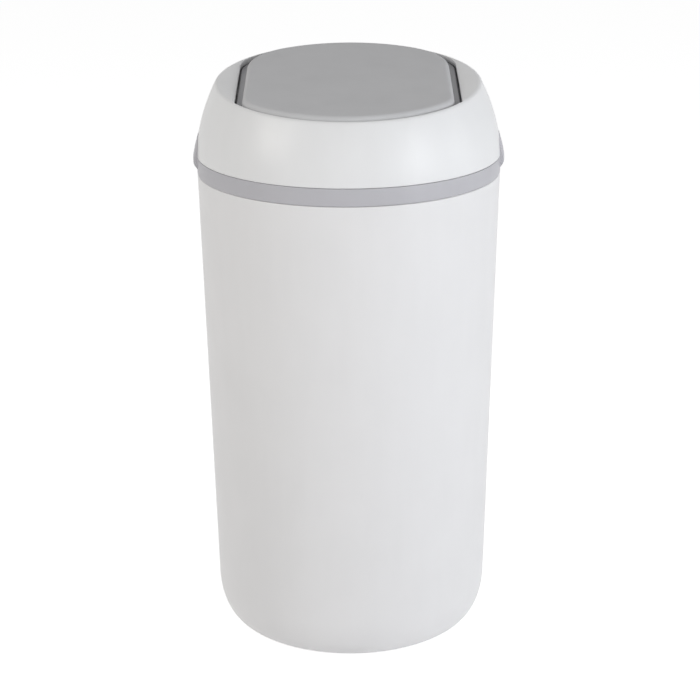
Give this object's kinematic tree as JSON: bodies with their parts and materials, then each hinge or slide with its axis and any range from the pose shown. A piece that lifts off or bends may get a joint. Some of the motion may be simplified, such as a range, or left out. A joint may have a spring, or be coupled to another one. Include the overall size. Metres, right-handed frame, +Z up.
{
  "type": "nappy bin",
  "caption": "Tapered round nappy bin with a liner ring and a lift-off domed head, whose slanted mouth has a sprung push flap over a sprung trap flap.",
  "frame": {"origin": "on the floor, in the middle of the base", "axes": "+Z up; -Y is the front, towards which the mouth slopes; +X is the right-hand side seen from the front"},
  "size_m": [0.2686, 0.262, 0.5078],
  "materials": {
    "bucket_white": "satin moulded polypropylene",
    "head_white": "satin moulded polypropylene",
    "lid_grey": "fine matt moulded polypropylene",
    "ring_grey": "satin moulded polypropylene",
    "frame_grey": "matt moulded polypropylene",
    "bush_white": "smooth acetal",
    "seal_grey": "soft elastomer",
    "rubber_dark": "soft rubber",
    "screw_steel": "zinc plated",
    "spring_steel": "drawn spring wire"
  },
  "bodies": {
    "bucket": {"outer_bucket": "bucket_white", "base_pads": "rubber_dark"},
    "ring": {"bag_ring": "ring_grey"},
    "head": {"head_housing": "head_white", "chute_frame": "frame_grey", "frame_screws": "screw_steel", "head_gasket": "seal_grey", "pivot_bush_left": "bush_white", "pivot_bush_right": "bush_white", "flap_spring_left": "spring_steel", "flap_spring_right": "spring_steel", "flap_bumpers": "rubber_dark", "trap_pin": "screw_steel", "trap_spring": "spring_steel"},
    "push_flap": {"flap_cover": "lid_grey", "flap_tray": "frame_grey", "flap_seal": "seal_grey", "flap_screws": "screw_steel", "pivot_pin_left": "screw_steel", "pivot_pin_right": "screw_steel"},
    "trap": {"trap_flap": "frame_grey", "trap_seal": "seal_grey"}
  },
  "joints": [
    {"name": "ring_lift", "type": "slide", "parent": "bucket", "child": "ring", "axis": [0, 0, 1], "range_m": [0, 0.06]},
    {"name": "head_lift", "type": "slide", "parent": "ring", "child": "head", "axis": [0, 0, 1], "range_m": [0, 0.09]},
    {"name": "flap_swing", "type": "hinge", "parent": "head", "child": "push_flap", "pos_m": [0, -0.00535, 0.48326], "axis": [1, 0, 0], "range_deg": [0, 75], "stiffness_Nm_per_rad": 0.08, "springref_deg": -68.75, "deforming": ["flap_spring_left", "flap_spring_right"]},
    {"name": "trap_swing", "type": "hinge", "parent": "head", "child": "trap", "pos_m": [0, 0.1074, 0.36505], "axis": [1, 0, 0], "range_deg": [0, 55], "stiffness_Nm_per_rad": 0.15, "springref_deg": -85.94, "deforming": ["trap_spring"]}
  ]
}
